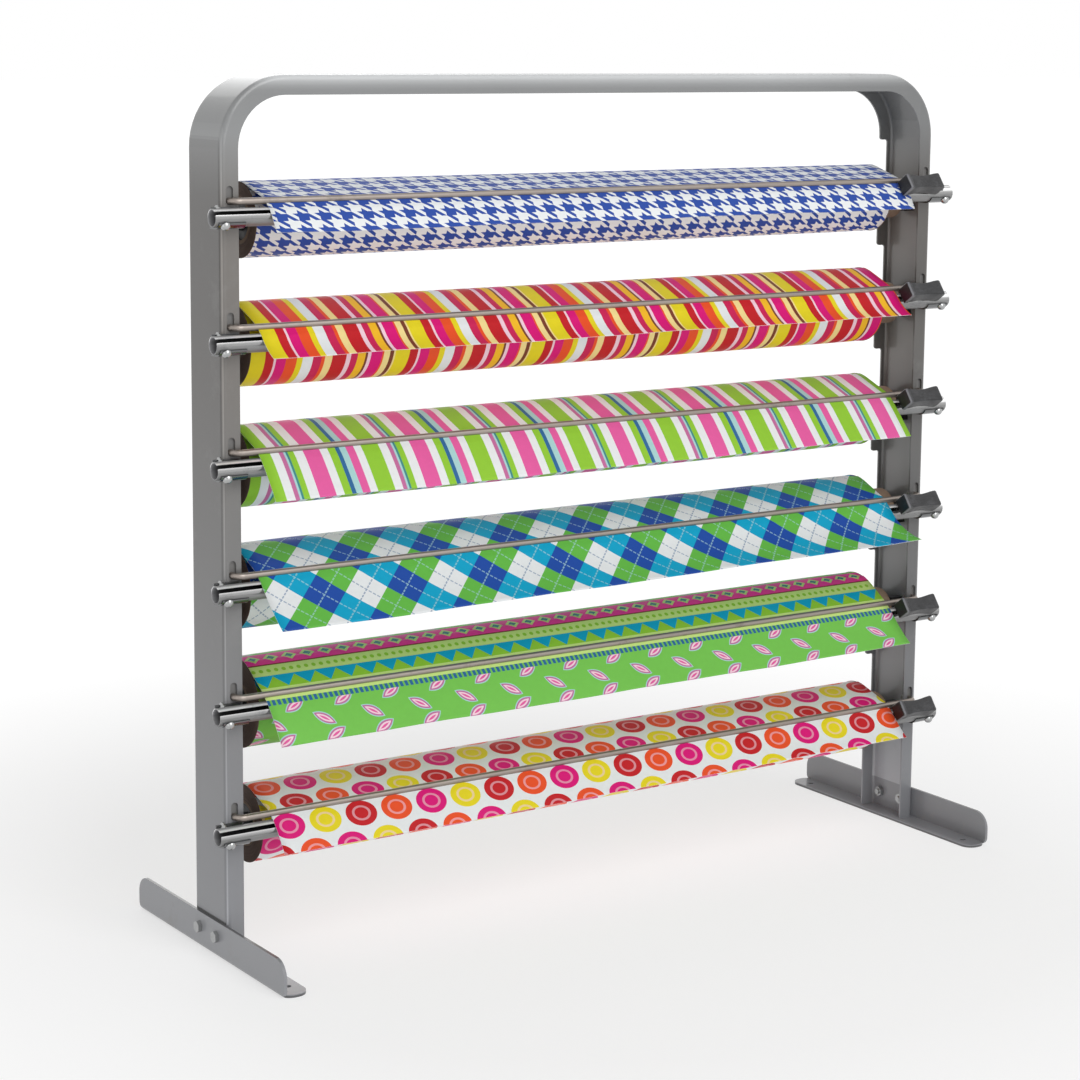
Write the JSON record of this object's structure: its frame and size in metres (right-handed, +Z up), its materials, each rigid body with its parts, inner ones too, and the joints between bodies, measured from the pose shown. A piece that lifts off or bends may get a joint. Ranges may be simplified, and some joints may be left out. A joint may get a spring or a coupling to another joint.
{
  "type": "gift wrap dispenser",
  "caption": "Free-standing rack of bent channel steel that carries gift wrap rolls one above another, each with a slotted track, a sliding cutter and a hold-down bar.",
  "frame": {"origin": "on the floor, midway between the two posts and midway between the ends of the feet", "axes": "+X along the rolls, to the right of a person who stands in front; +Y to the back; +Z up"},
  "size_m": [0.88, 0.3, 0.822],
  "materials": {
    "frame_paint": "satin",
    "track_chrome": "polished",
    "zinc_fasteners": "satin",
    "bar_steel": "satin",
    "blade_steel": "polished",
    "cutter_plastic": "satin",
    "plug_plastic": "matte",
    "cradle_nylon": "satin",
    "core_board": "matte",
    "paper_1": "gloss",
    "paper_2": "gloss",
    "paper_3": "gloss",
    "paper_4": "gloss",
    "paper_5": "gloss",
    "paper_6": "gloss"
  },
  "bodies": {
    "rack": {"frame_channel": "frame_paint", "foot_left": "frame_paint", "foot_right": "frame_paint", "foot_bolts": "zinc_fasteners", "foot_nuts": "zinc_fasteners", "roll_cradles": "cradle_nylon", "track_brackets": "track_chrome", "bracket_rivets": "zinc_fasteners", "stop_screws": "track_chrome", "stop_nuts": "zinc_fasteners", "cutter_track_1": "track_chrome", "paper_sheet_1": "paper_1", "cutter_track_2": "track_chrome", "paper_sheet_2": "paper_2", "cutter_track_3": "track_chrome", "paper_sheet_3": "paper_3", "cutter_track_4": "track_chrome", "paper_sheet_4": "paper_4", "cutter_track_5": "track_chrome", "paper_sheet_5": "paper_5", "cutter_track_6": "track_chrome", "paper_sheet_6": "paper_6"},
    "roll_1": {"paper_roll_1": "paper_1", "roll_core_1": "core_board", "roll_plugs_1": "plug_plastic"},
    "cutter_1": {"cutter_body_1": "cutter_plastic", "cutter_blade_1": "blade_steel"},
    "hold_bar_1": {"hold_bar_1": "bar_steel"},
    "roll_2": {"paper_roll_2": "paper_2", "roll_core_2": "core_board", "roll_plugs_2": "plug_plastic"},
    "cutter_2": {"cutter_body_2": "cutter_plastic", "cutter_blade_2": "blade_steel"},
    "hold_bar_2": {"hold_bar_2": "bar_steel"},
    "roll_3": {"paper_roll_3": "paper_3", "roll_core_3": "core_board", "roll_plugs_3": "plug_plastic"},
    "cutter_3": {"cutter_body_3": "cutter_plastic", "cutter_blade_3": "blade_steel"},
    "hold_bar_3": {"hold_bar_3": "bar_steel"},
    "roll_4": {"paper_roll_4": "paper_4", "roll_core_4": "core_board", "roll_plugs_4": "plug_plastic"},
    "cutter_4": {"cutter_body_4": "cutter_plastic", "cutter_blade_4": "blade_steel"},
    "hold_bar_4": {"hold_bar_4": "bar_steel"},
    "roll_5": {"paper_roll_5": "paper_5", "roll_core_5": "core_board", "roll_plugs_5": "plug_plastic"},
    "cutter_5": {"cutter_body_5": "cutter_plastic", "cutter_blade_5": "blade_steel"},
    "hold_bar_5": {"hold_bar_5": "bar_steel"},
    "roll_6": {"paper_roll_6": "paper_6", "roll_core_6": "core_board", "roll_plugs_6": "plug_plastic"},
    "cutter_6": {"cutter_body_6": "cutter_plastic", "cutter_blade_6": "blade_steel"},
    "hold_bar_6": {"hold_bar_6": "bar_steel"}
  },
  "joints": [
    {"name": "roll_1_spin", "type": "hinge", "parent": "rack", "child": "roll_1", "pos_m": [0, 0.0117, 0.6891], "axis": [1, 0, 0], "continuous": true},
    {"name": "cutter_1_slide", "type": "slide", "parent": "rack", "child": "cutter_1", "axis": [1, 0, 0], "range_m": [-0.792, 0.0145]},
    {"name": "hold_bar_1_lift", "type": "slide", "parent": "rack", "child": "hold_bar_1", "axis": [0, 0, 1], "range_m": [0, 0.01]},
    {"name": "roll_2_spin", "type": "hinge", "parent": "rack", "child": "roll_2", "pos_m": [0, 0.0117, 0.5743], "axis": [1, 0, 0], "continuous": true},
    {"name": "cutter_2_slide", "type": "slide", "parent": "rack", "child": "cutter_2", "axis": [1, 0, 0], "range_m": [-0.7975, 0.009]},
    {"name": "hold_bar_2_lift", "type": "slide", "parent": "rack", "child": "hold_bar_2", "axis": [0, 0, 1], "range_m": [0, 0.01]},
    {"name": "roll_3_spin", "type": "hinge", "parent": "rack", "child": "roll_3", "pos_m": [0, 0.0117, 0.46], "axis": [1, 0, 0], "continuous": true},
    {"name": "cutter_3_slide", "type": "slide", "parent": "rack", "child": "cutter_3", "axis": [1, 0, 0], "range_m": [-0.7995, 0.007]},
    {"name": "hold_bar_3_lift", "type": "slide", "parent": "rack", "child": "hold_bar_3", "axis": [0, 0, 1], "range_m": [0, 0.01]},
    {"name": "roll_4_spin", "type": "hinge", "parent": "rack", "child": "roll_4", "pos_m": [0, 0.0117, 0.3462], "axis": [1, 0, 0], "continuous": true},
    {"name": "cutter_4_slide", "type": "slide", "parent": "rack", "child": "cutter_4", "axis": [1, 0, 0], "range_m": [-0.802, 0.0045]},
    {"name": "hold_bar_4_lift", "type": "slide", "parent": "rack", "child": "hold_bar_4", "axis": [0, 0, 1], "range_m": [0, 0.01]},
    {"name": "roll_5_spin", "type": "hinge", "parent": "rack", "child": "roll_5", "pos_m": [0, 0.0117, 0.2344], "axis": [1, 0, 0], "continuous": true},
    {"name": "cutter_5_slide", "type": "slide", "parent": "rack", "child": "cutter_5", "axis": [1, 0, 0], "range_m": [-0.804, 0.0025]},
    {"name": "hold_bar_5_lift", "type": "slide", "parent": "rack", "child": "hold_bar_5", "axis": [0, 0, 1], "range_m": [0, 0.01]},
    {"name": "roll_6_spin", "type": "hinge", "parent": "rack", "child": "roll_6", "pos_m": [0, 0.0117, 0.1156], "axis": [1, 0, 0], "continuous": true},
    {"name": "cutter_6_slide", "type": "slide", "parent": "rack", "child": "cutter_6", "axis": [1, 0, 0], "range_m": [-0.8045, 0.002]},
    {"name": "hold_bar_6_lift", "type": "slide", "parent": "rack", "child": "hold_bar_6", "axis": [0, 0, 1], "range_m": [0, 0.01]}
  ]
}
